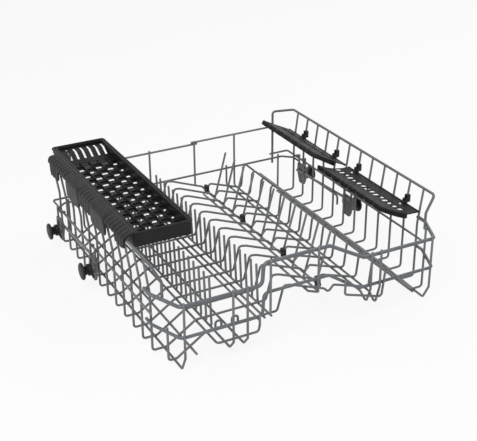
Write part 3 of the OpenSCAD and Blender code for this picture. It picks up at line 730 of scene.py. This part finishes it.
tray = dict(left=-half + 3, width=96, top=172, depth=25, wall=2.2, front=rowY(1) + 21, back=midBackY,
            dividers=5, ledge=rimZ + rimD / 2 + 0.2, slope=30, slots=7, slotWidth=4.0,
            margins=(8.6, 5.6, 3.4, 3.0), cell=15.0, bar=7.6, round=(5.0, 3.4, 2.6), backPlate=1.8,
            floorPlate=1.5, floorUp=3.8, laneSide=1.7, dividerUp=4.4)
tray["right"], tray["floor"] = tray["left"] + tray["width"], tray["top"] - tray["depth"]
slopeTopY = riserY - 7
slopeFootY = slopeTopY - tray["slope"]
trayInside = (tray["left"] + tray["wall"], tray["right"] - tray["wall"])
# section of the tray's edge as (share of the way in to the step, outward reach, drop below the
# top or None for the bottom): up the outside, over the bead, across the edge, down inside
trayEdge = ((0, 0, None), (0, 0, 3.9), (0, 1.1, 3.2), (0, 1.6, 2.4), (0, 1.6, 1.2), (0, 1.1, 0.35),
            (0, 0.2, 0), (0.14, 0, 0), (0.22, 0, 0.5), (0.26, 0, 1.7), (0.55, 0, 1.9), (0.62, 0, 1.0),
            (0.74, 0, 0.55), (0.9, 0, 0.9), (1.0, 0, 1.9), (1.0, 0, 5.6))
innerDrop = 6.6  # the wall's inner face starts this far below the top


def trayBottom(y):
    # the walls end at the floor, then follow the sloping back up to the ledge over the rim
    return np.interp(y, (slopeFootY, slopeTopY), (tray["floor"], tray["ledge"]))


def trayBack():
    # one bent plate with long slots: up the slope, round a soft bend and flat over the rim
    left, right = trayInside[0] - 0.2, trayInside[1] + 0.2
    share = (np.arange(tray["slots"]) + 0.72) / (tray["slots"] + 0.44)
    centres = tray["left"] + tray["width"] * share + 1.3
    slotHalf = tray["slotWidth"] / 2
    u = np.concatenate([[left], np.stack([centres - slotHalf, centres + slotHalf], -1).ravel(), [right]])
    v = np.array([0, 0.3, 0.5, 0.6, 0.66, 0.72, 0.84, 0.94, 1.0])  # share of the slope and the ledge
    keep = np.ones((len(u) - 1, len(v) - 1), bool)
    keep[1::2, 1:-1] = False
    bendAt, soft = 0.66, 0.06
    steep = math.atan2(tray["ledge"] + 0.5 - tray["floor"], tray["slope"])
    stops = (slopeFootY - 0.2, slopeTopY, tray["back"] - tray["wall"] + 0.2)
    heights = (tray["floor"] + 0.6, tray["ledge"] + 1.1, tray["ledge"] + 1.1)

    def place(a, b, side):
        lean = np.interp(b, (bendAt - soft, bendAt + soft), (steep, 0))
        y, z = np.interp(b, (0, bendAt, 1), stops), np.interp(b, (0, bendAt, 1), heights)
        reach = side * tray["backPlate"] / 2
        return np.stack([a, y - np.sin(lean) * reach, z + np.cos(lean) * reach], -1)
    return plateMesh(u, v, keep, place)


def trayShell():
    # the edge's section carried round the plan, and the back plate
    stations = (slopeFootY - 4, slopeFootY, slopeTopY, slopeTopY + 4)
    west, east, south, north = tray["margins"]
    x0, x1, y0, y1, thick = tray["left"], tray["right"], tray["front"], tray["back"], tray["wall"]
    outer, out = roundedPlan(x0, x1, y0, y1, tray["round"][0], stations)
    wall = roundedPlan(*trayInside, y0 + thick, y1 - thick, tray["round"][1], stations)[0]
    step = roundedPlan(x0 + west, x1 - east, y0 + south, y1 - north, tray["round"][2], stations)[0]
    layers = []
    for share, reach, drop in trayEdge:
        z = trayBottom(outer[:, 1]) if drop is None else np.full(len(outer), tray["top"] - drop)
        layers.append(np.column_stack([outer * (1 - share) + step * share + out * reach, z]))
    layers.append(np.column_stack([wall, np.full(len(wall), tray["top"] - innerDrop)]))
    layers.append(np.column_stack([wall, trayBottom(wall[:, 1])]))
    ring = np.stack(layers, 1)
    return joinMeshes([(ring.reshape(-1, 3), ringFaces(*ring.shape[:2])), trayBack()])


def laneEdges():
    # sides of the lanes between the dividers
    edges = tray["left"] + tray["width"] * np.arange(tray["dividers"] + 2) / (tray["dividers"] + 1)
    edges[0], edges[-1] = trayInside[0] + 0.1, trayInside[1] - 0.1
    return edges


def cellStarts():
    # starts of the cells along the tray, and where the last bar ends
    y0, y1 = tray["front"] + tray["wall"] + 0.1, slopeFootY - 1.6
    count = round((y1 - y0 - tray["bar"]) / tray["cell"])
    return y0 + (y1 - y0 - tray["bar"]) / count * np.arange(count), y1


def trayLattice():
    # every second cell of a lane is open, staggered from lane to lane
    edges, (starts, end) = laneEdges(), cellStarts()
    sides = np.stack([edges[:-1] + tray["laneSide"], edges[1:] - tray["laneSide"]], -1).ravel()
    u = np.concatenate([[edges[0]], sides, [edges[-1]]])
    v = np.append(np.stack([starts, starts + tray["bar"]], -1).ravel(), [end - tray["bar"], end])
    keep = np.ones((len(u) - 1, len(v) - 1), bool)
    lane, row = np.meshgrid(np.arange(len(edges) - 1), np.arange(len(starts)), indexing="ij")
    isOpen = (lane + row) % 2 == 0
    keep[1 + 2 * lane[isOpen], 1 + 2 * row[isOpen]] = False
    z, reach = tray["floor"] + tray["floorUp"], tray["floorPlate"] / 2
    return plateMesh(u, v, keep, lambda a, b, side: np.stack([a, b, z + side * reach + 0 * a], -1))


def trayDivider(x):
    # thin wall, thinner towards its top edge, which waves twice as often as the cells
    u = np.linspace(tray["front"] + tray["wall"] + 0.1, slopeFootY - 1.4, 190)
    v = np.array([0, 0.5, 0.88, 1.0])
    wave = np.clip(0.9 + 1.5 * np.cos(2 * np.pi * (u - u[0] - 1.5) / (tray["cell"] / 2)), 0, 1)
    crest = 3.8 + 1.6 * wave
    base = tray["floor"] + tray["dividerUp"]

    def place(a, b, side):
        return np.stack([x + side * (0.8 - 0.3 * b), a, base + np.interp(a, u, crest) * b], -1)
    return plateMesh(u, v, None, place)


def trayRibs():
    # a low rib at the front of each closed cell, so that it hides no open one from the front
    edges, starts = laneEdges(), cellStarts()[0]
    base, height, footHalf, topHalf, play = tray["floor"] + tray["dividerUp"], 3.2, 0.9, 0.55, 0.4
    parts = []
    for lane in range(len(edges) - 1):
        for y in starts[(lane + np.arange(len(starts))) % 2 == 1] + tray["bar"]:
            outline = [(y - footHalf, base), (y + footHalf, base), (y + topHalf, base + height),
                       (y - topHalf, base + height)]
            parts.append(prismMesh(outline, edges[lane] + play, edges[lane + 1] - play,
                                   lambda a, b, c: np.stack([c, a, b], -1)))
    return joinMeshes(parts)


# each flap is (start, end, how far it hangs, whether it is smooth and bulged); the rest is fluted
skirt = dict(thick=2.1, outer=-rimX - rimD / 2 - 2.2, top=tray["top"] - 1.3, shoulder=(9.8, 4.0), brow=7.6,
             start=tray["front"] + 2, end=472, low=5.0, rib=11.5, flute=1.1,
             flaps=((128, 167, 16, 0), (205, 270, 31, 1), (262, 332, 22, 0), (322, 384, 33, 1),
                    (424, 468, 24, 0)))


def traySkirt():
    # from under the tray's edge out over the rim and down; the lower edge is the furthest
    # reach of the flaps, whose ends round off as the fifth root of 1 less the seventh power of
    # the way out
    u = np.linspace(skirt["start"], skirt["end"], 420)
    drop, smooth = np.full(len(u), skirt["low"]), np.zeros(len(u))
    for start, end, hang, plain in skirt["flaps"]:
        away = np.abs(u - (start + end) / 2) / ((end - start) / 2)
        shape = np.clip(1 - away ** 7, 0, 1) ** 0.2
        drop = np.maximum(drop, skirt["low"] + (hang - skirt["low"]) * shape)
        smooth = np.maximum(smooth, plain * np.clip((1 - away) * 6, 0, 1))
    v = np.concatenate([np.linspace(0, 0.5, 9), np.linspace(0.56, 1.0, 8)])  # half over, half down
    edgeX, kneeZ = tray["left"] - 0.1, skirt["top"] - skirt["brow"]
    at = (0, 0.24, 0.42, 0.5)
    pathX = (edgeX, edgeX - skirt["shoulder"][0], skirt["outer"] + 1.0, skirt["outer"])
    pathZ = (skirt["top"], skirt["top"] - skirt["shoulder"][1], kneeZ + 1.2, kneeZ - 0.8)
    pathLean = (0.35, 0.55, 1.2, 1.55)

    def place(a, b, side):
        hang, plain, lean = np.interp(a, u, drop), np.interp(a, u, smooth), np.interp(b, at, pathLean)
        down = np.clip((b - 0.5) / 0.5, 0, 1)
        x, z = np.interp(b, at, pathX), np.interp(b, at, pathZ) - down * hang
        wave = (0.5 + 0.5 * np.cos(2 * np.pi * (a - skirt["start"]) / skirt["rib"])) ** 2
        bulge = 0.4 + 1.6 * np.sin(np.pi * np.clip(b * 1.15 - 0.1, 0, 1))
        relief = skirt["flute"] * np.clip(b * 5, 0, 1) * (wave * (1 - plain) + plain * bulge)
        reach = side * skirt["thick"] / 2 + (side > 0) * relief
        return np.stack([x - np.sin(lean) * reach, a, z + np.cos(lean) * reach], -1)
    return flipFaces(plateMesh(u, v, None, place))


dividerX = tray["left"] + tray["width"] * np.arange(1, tray["dividers"] + 1) / (tray["dividers"] + 1)
dividers = joinMeshes([trayDivider(x) for x in dividerX] + [trayRibs()])
for name, mesh, node, edge, paintedTopHighlight in (
        ("trayShell", trayShell(), "tray_shell", 0.3, None),
        ("trayLattice", trayLattice(), "tray_floor", 0.35, None),
        # the dividers' top edges get a painted highlight from this height up
        ("trayDividers", dividers, "tray_dividers", 0.25, (tray["floor"] + 7.4, 1.2)),
        ("traySkirt", traySkirt(), "tray_hooks", 0.3, None)):
    smoothPiece(name, mesh, "cutlery_tray", "tray_black", node, edge, paintedTopHighlight=paintedTopHighlight)
print("tray made")


shelf = dict(reach=64, hingeX=half - 2, hingeZ=121.5, rod=4, taper=34, lobe=7.0, lobeLength=25, lip=6.0,
             lipBend=1.4, slotPitch=13, bridge=2, clipGap=8.6, thick=1.9, dish=0.9,
             front=dict(start=rowY(0) - 4, end=rowY(5) + 23, tilt=0, curl=17, clips=(rowY(1), rowY(5))),
             rear=dict(start=rowY(6) - 2, end=rowY(lastRow) + 16, tilt=25, curl=2, clips=(rowY(7), rowY(10))))
# stations from the hinge (0) over the edge's turn (1 to 1.04) to the lip's end (1.2)
shelfStops = np.array([0.0, 0.06, 0.165, 0.24, 0.32, 0.42, 0.52, 0.6, 0.7, 0.8, 0.87, 0.92, 0.96, 1.0,
                       1.02, 1.04, 1.1, 1.2])
clipStop, slotStops, turnLength = 0.165, (0.32, 0.52), 0.04


def cupShelf(spot):
    # slotted plate on its hinge rod, whose inner edge turns down. The edge is drawn in between
    # the lobes by a power of the cosine along it and narrows to a nose at the front; each lobe
    # is dished, and the plate rises by the curl times a power of the way out
    start, end = spot["start"], spot["end"]
    length, taper, bridge = end - start, shelf["taper"], shelf["bridge"]
    cells = int(length / shelf["slotPitch"])
    step = length / cells
    lobeStep = (length - taper) / int((length - taper) / shelf["lobeLength"])
    quarters = [bridge + (step - 2 * bridge) * share for share in (0, 0.25, 0.5, 0.75)]
    cuts = np.array([0] + quarters + [step - bridge])
    u = np.concatenate([(start + step * np.arange(cells)[:, None] + cuts).ravel(), [end]])
    extra = [y + s * shelf["clipGap"] / 2 for y in spot["clips"] for s in (-1, 1)]
    u = np.array(sorted([a for a in u if all(abs(a - e) > 0.7 for e in extra)] + extra))
    v = shelfStops
    keep = np.ones((len(u) - 1, len(v) - 1), bool)
    middle = (u[:-1] + u[1:]) / 2
    cell = np.minimum(((middle - start) / step).astype(int), cells - 1)
    inSlot = np.abs(middle - start - step * (cell + 0.5)) < step / 2 - bridge
    far = step * cell > taper * 0.7 - 12
    keep[np.ix_(inSlot & far, (v[:-1] >= slotStops[0]) & (v[1:] <= slotStops[1]))] = False
    for y in spot["clips"]:
        keep[np.ix_(np.abs(middle - y) < shelf["clipGap"] / 2, v[:-1] < clipStop)] = False
    tilt, skin, turnDrop = math.radians(spot["tilt"]), shelf["thick"] / 2, shelf["lipBend"]

    def place(a, b, side):
        lobes = (a - start - taper) / lobeStep
        edge = shelf["reach"] - shelf["lobe"] * (1 - np.abs(np.cos(np.pi * lobes)) ** 0.8)
        nose = np.clip((a - start) / taper, 0, 1)
        edge = np.where(nose < 1, shelf["reach"] * (0.35 + 0.65 * np.sin(nose * np.pi / 2) ** 0.8), edge)
        flat, over = np.minimum(b, 1), np.clip((b - 1) / turnLength, 0, 1) * np.pi / 2
        dish = -shelf["dish"] * np.abs(np.sin(np.pi * lobes)) ** 3 * np.clip(flat * 2.4 - 1.2, 0, 1)
        lip = np.clip((b - 1 - turnLength) / (0.2 - turnLength), 0, 1) * shelf["lip"]
        x = -flat * edge - turnDrop * np.sin(over) - side * skin * np.sin(over)
        rise = spot["curl"] * (flat * edge / shelf["reach"]) ** 2.2
        w = dish + rise + side * skin * np.cos(over) - turnDrop * (1 - np.cos(over)) - lip
        return np.stack([shelf["hingeX"] + x * math.cos(tilt) + w * math.sin(tilt), a,
                         shelf["hingeZ"] - x * math.sin(tilt) + w * math.cos(tilt)], -1)
    hinge = [(shelf["hingeX"], y, shelf["hingeZ"]) for y in (start, end)]
    rod = tubeMesh([(hinge, shelf["rod"], bend, 0.6)], 16)[:2]
    return joinMeshes([flipFaces(plateMesh(u, v, keep, place)), rod])


for key in ("front", "rear"):
    smoothPiece("cupShelf" + key.title(), cupShelf(shelf[key]), "shelf_" + key, "shelf_black",
                "cup_shelf_" + key, 0.3, 50)
print("cup shelves made")


# the wheel's section as (along the pin, radius): hub, groove, flange and its domed face
wheel = dict(start=half + 14.5, height=36,
             profile=((0, 2.6), (0, 9.3), (0.9, 10.25), (4.2, 10.25), (5.3, 9.7), (6.8, 7.7), (10.4, 7.4),
                      (12.0, 8.2), (12.9, 11.5), (13.5, 14.0), (14.2, 14.65), (15.0, 14.75), (16.1, 14.6),
                      (16.9, 13.9), (17.4, 12.6), (17.5, 11.9), (17.3, 11.4), (17.5, 10.9), (17.9, 8.6),
                      (18.15, 5.0), (18.2, 2.4), (18.2, 0.0), (15.0, 0.0), (15.0, 2.6), (0, 2.6)))
pin = dict(start=half + 8, radius=2.5, length=21, chamfer=0.4)


def lathe(profile, x, y, z, side, count=56):
    # profile of (along, radius) turned about a line along X; points that coincide become one
    profile = np.asarray(profile, float)
    turn = np.linspace(0, 2 * np.pi, count, endpoint=False)
    r, run = profile[:, 1][:, None], np.repeat(profile[:, 0][:, None], count, 1)
    ring = np.stack([x + side * run, y + r * np.cos(turn), z + r * np.sin(turn)], -1)
    index = np.arange(ring.shape[0] * count).reshape(-1, count)
    nxt = np.roll(index, -1, 1)
    quads = np.stack([index[:-1], nxt[:-1], nxt[1:], index[1:]], -1).reshape(-1, 4)
    verts, where = np.unique(np.round(ring.reshape(-1, 3), 5), axis=0, return_inverse=True)
    faces = []
    for quad in where.reshape(-1)[quads].tolist():
        face = [a for n, a in enumerate(quad) if a != quad[n - 1]]
        if len(face) > 2:
            faces.append(face if side < 0 else face[::-1])
    return verts, faces


for side, word in ((-1, "left"), (1, "right")):
    for row, place in zip(wheelRows, ("front", "rear")):
        mesh = lathe(wheel["profile"], side * wheel["start"], rowY(row), wheel["height"], side)
        smoothPiece(place + word.title() + "Wheel", mesh, place + "_" + word + "_wheel", "wheel_black",
                    "wheel_" + place + "_" + word, 0)
pinShape = ((0, 0), (0, pin["radius"] - pin["chamfer"]), (pin["chamfer"], pin["radius"]),
            (pin["length"] - pin["chamfer"], pin["radius"]), (pin["length"], pin["radius"] - pin["chamfer"]),
            (pin["length"], 0))
pins = [lathe(pinShape, side * pin["start"], rowY(row), wheel["height"], side, 24)
        for side in (-1, 1) for row in wheelRows]
smoothPiece("wheelPins", joinMeshes(pins), "basket", "pin_steel", "wheel_axles", 0)
print("wheels made")


bracket = dict(inner=half + wireD + 3.4, thick=2.8, skin=1.6, border=1.1, window=(0.8, 0.84), arm=3.4,
               armPlace=11, armFoot=52, hookDown=2.0, hookUp=4.6, hookWidth=6, rib=1.8, ribEnds=(24, 54),
               ribRaise=1.2, overlap=0.2, corner=(3.0, 2.4), bossStart=1.2, boss=(6.9, 6.2), bore=2.62,
               wheelPlay=0.3,
               plate=((-15, 57), (-17, 40), (-8, 17), (8, 17), (17, 40), (15, 57)))


def borderFaces(count):
    # quads of four rings of points, closed round the outline and round the border's section
    ring = np.arange(4 * count).reshape(4, count).T
    after = np.roll(ring, -1, 0)
    return np.stack([ring, after, np.roll(after, -1, 1), np.roll(ring, -1, 1)], -1).reshape(-1, 4).tolist()


def wheelBracket(side, y):
    # dished plate with a raised border, two slim arms hooked over the middle wire, a rib down
    # from each arm, a boss round the pin
    inner, outer = bracket["inner"], bracket["inner"] + bracket["thick"]
    skin, border, middle = bracket["skin"], bracket["border"], wheel["height"]
    hookLow, hookHigh = rack["midHeight"] + bracket["hookDown"], rack["midHeight"] + bracket["hookUp"]

    def place(a, b, c):
        return np.stack([side * c, y + a, b], -1)

    def bar(at, halfWidth, low, high, start, end):
        return prismMesh([(at - halfWidth, low), (at - halfWidth, high), (at + halfWidth, high),
                          (at + halfWidth, low)], start, end, place)
    outline = roundOutline(bracket["plate"], bracket["corner"][0])
    parts = [prismMesh(outline, inner, inner + skin, place)]
    narrow, lower = bracket["window"]
    hole = [(a * narrow, middle + (b - middle) * lower) for a, b in bracket["plate"]]
    window = roundOutline(hole, bracket["corner"][1])
    count, onSkin = len(outline), inner + skin - bracket["overlap"]
    depths = (onSkin, outer + border)
    rings = [place(*outline.T, np.full(count, c)) for c in depths]
    rings += [place(*window.T, np.full(count, c)) for c in depths[::-1]]
    parts.append((np.concatenate(rings), borderFaces(count)))
    for at in (-bracket["armPlace"], bracket["armPlace"]):
        parts.append(bar(at, bracket["arm"] / 2, bracket["armFoot"], hookHigh, inner, outer))
        hook = [(midX - 2.4, hookLow), (midX - 1.8, hookHigh), (inner + 1.0, hookHigh),
                (inner + 1.0, hookLow)]
        parts.append(prismMesh(hook, y + at - bracket["hookWidth"] / 2, y + at + bracket["hookWidth"] / 2,
                               lambda a, b, c: np.stack([side * a, c, b], -1)))
        parts.append(bar(at, bracket["rib"] / 2, *bracket["ribEnds"], onSkin, outer + bracket["ribRaise"]))
    parts = [part if side > 0 else flipFaces(part) for part in parts]
    bossStart, (wide, slim), bore = bracket["bossStart"], bracket["boss"], bracket["bore"]
    end = wheel["start"] - bracket["wheelPlay"] - inner - bossStart
    boss = ((0, bore), (0, wide), (2.6, 6.5), (end - 0.4, slim), (end, slim - 0.4), (end, bore), (0, bore))
    parts.append(lathe(boss, side * (inner + bossStart), y, middle, side, 32))
    return joinMeshes(parts)


brackets = joinMeshes([wheelBracket(side, rowY(row)) for side in (-1, 1) for row in wheelRows])
smoothPiece("wheelBrackets", brackets, "basket", "bracket_grey", "wheel_brackets", 0.35)
print("brackets made")


# the clips keep their CAD shape
for node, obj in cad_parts.items():
    if node.startswith(("shelf_clips", "fold_clips")):
        for slotItem in obj.material_slots:
            slotItem.material = finish["clips"]
print("clips finished")


# sizes and places in metres, grey levels as linear colour, lamp power in watts
studio = dict(floorSize=9.0, floorColor=0.86, floorWhite=0.86, sky=0.50, aim=(0, 0, 0.08),
              key=dict(place=(-1.3, -1.2, 2.0), size=1.6, power=34.0),
              fill=dict(place=(1.6, 0.4, 1.6), size=1.8, power=12.0))


def seenDirectly(tree):
    # 1 for the camera's, reflected and transmitted rays, 0 for the light's own
    path = addNode(tree, "ShaderNodeLightPath")
    seen = addMath(tree, "ADD", path.outputs["Is Camera Ray"], path.outputs["Is Glossy Ray"], True)
    return addMath(tree, "ADD", seen, path.outputs["Is Transmission Ray"], True)


def makeFloor():
    s = studio["floorSize"]
    mesh = bpy.data.meshes.new("floor")
    mesh.from_pydata([(-s, -s, 0), (s, -s, 0), (s, s, 0), (-s, s, 0)], [], [(0, 1, 2, 3)])
    floor = bpy.data.objects.new("floor", mesh)
    scene.collection.objects.link(floor)
    material = bpy.data.materials.new("paleFloor")
    material.use_nodes = True
    tree = material.node_tree
    tree.nodes.remove(tree.nodes["Principled BSDF"])
    matte = addNode(tree, "ShaderNodeBsdfDiffuse", Color=(studio["floorColor"],) * 3 + (1,))
    white = addNode(tree, "ShaderNodeEmission", Color=(1, 1, 1, 1), Strength=1.0)
    amount = addMath(tree, "MULTIPLY", seenDirectly(tree), studio["floorWhite"])
    both = addNode(tree, "ShaderNodeMixShader", i0=amount, i1=matte.outputs[0], i2=white.outputs[0])
    tree.links.new(both.outputs[0], tree.nodes["Material Output"].inputs["Surface"])
    mesh.materials.append(material)


def makeWorld():
    world = bpy.data.worlds.new("studioWorld")
    scene.world = world
    world.use_nodes = True
    tree = world.node_tree
    tree.nodes.clear()
    soft = addNode(tree, "ShaderNodeBackground", Color=(1, 1, 1, 1), Strength=studio["sky"])
    white = addNode(tree, "ShaderNodeBackground", Color=(1, 1, 1, 1), Strength=1.0)
    seen = seenDirectly(tree)
    both = addNode(tree, "ShaderNodeMixShader", i0=seen, i1=soft.outputs[0], i2=white.outputs[0])
    out = addNode(tree, "ShaderNodeOutputWorld")
    tree.links.new(both.outputs[0], out.inputs["Surface"])


def makeLamp(name, place, size, power):
    lamp = bpy.data.lights.new(name, "AREA")
    lamp.shape, lamp.size, lamp.energy = "DISK", size, power
    obj = bpy.data.objects.new(name, lamp)
    scene.collection.objects.link(obj)
    obj.location = place
    obj.rotation_euler = (Vector(studio["aim"]) - Vector(place)).to_track_quat("-Z", "Y").to_euler()


makeFloor()
makeWorld()
makeLamp("keyLamp", **studio["key"])
makeLamp("fillLamp", **studio["fill"])

# place in metres, turns in degrees (pitch counts down), focal length and width in pixels, the
# sensor's width in millimetres
view = dict(place=(-0.72993, -1.39828, 0.87433), yaw=27.597, pitch=26.503, roll=-0.435, focal=1034.42,
            frameWidth=477, sensor=36)


def makeCamera():
    # looks along the direction of yaw and pitch, then turned about it by the roll
    yaw, pitch, roll = (math.radians(view[k]) for k in ("yaw", "pitch", "roll"))
    ahead = np.array([math.sin(yaw) * math.cos(pitch), math.cos(yaw) * math.cos(pitch), -math.sin(pitch)])
    right = np.array([math.cos(yaw), -math.sin(yaw), 0])
    up = np.cross(right, ahead)
    right, up = right * math.cos(roll) + up * math.sin(roll), -right * math.sin(roll) + up * math.cos(roll)
    camera = bpy.data.cameras.new("photoCamera")
    camera.sensor_fit, camera.sensor_width = "HORIZONTAL", view["sensor"]
    camera.lens = view["focal"] / view["frameWidth"] * view["sensor"]
    camera.clip_start, camera.clip_end = 0.05, 30
    obj = bpy.data.objects.new("photoCamera", camera)
    scene.collection.objects.link(obj)
    turn = np.eye(4)
    turn[:3, 0], turn[:3, 1], turn[:3, 2], turn[:3, 3] = right, up, -ahead, view["place"]
    obj.matrix_world = Matrix(turn.tolist())
    scene.camera = obj


makeCamera()
scene.view_settings.view_transform = "Standard"
print("studio made")
